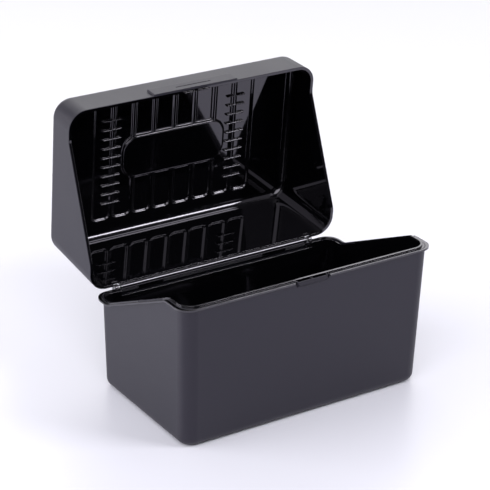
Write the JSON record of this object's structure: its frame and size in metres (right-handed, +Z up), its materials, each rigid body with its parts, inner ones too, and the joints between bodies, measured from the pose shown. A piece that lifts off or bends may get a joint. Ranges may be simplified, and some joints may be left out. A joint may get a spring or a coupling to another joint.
{
  "type": "hinged-lid card box",
  "caption": "Plastic card box: a deep tub with a sloping side rim, a ribbed lid on a rear rod hinge, and a snap catch in front.",
  "frame": {"origin": "centre of the tub's underside, on the surface it stands on", "axes": "+X to the right along the hinge, +Y from the front catch to the hinge, +Z up; the rest pose has the lid at its open stop"},
  "size_m": [0.145, 0.1334, 0.1372],
  "materials": {
    "tub_plastic": "satin black outside, glossy inside",
    "lid_plastic": "satin black outside, glossy inside",
    "rod_steel": "drawn bright steel"
  },
  "bodies": {
    "tub": {"card_tub": "tub_plastic", "hinge_rod": "rod_steel"},
    "lid": {"lid_shell": "lid_plastic"}
  },
  "joints": [
    {"name": "lid_hinge", "type": "hinge", "parent": "tub", "child": "lid", "pos_m": [0, 0.0441, 0.0474], "axis": [-1, 0, 0], "range_deg": [-85.5, 0]}
  ]
}
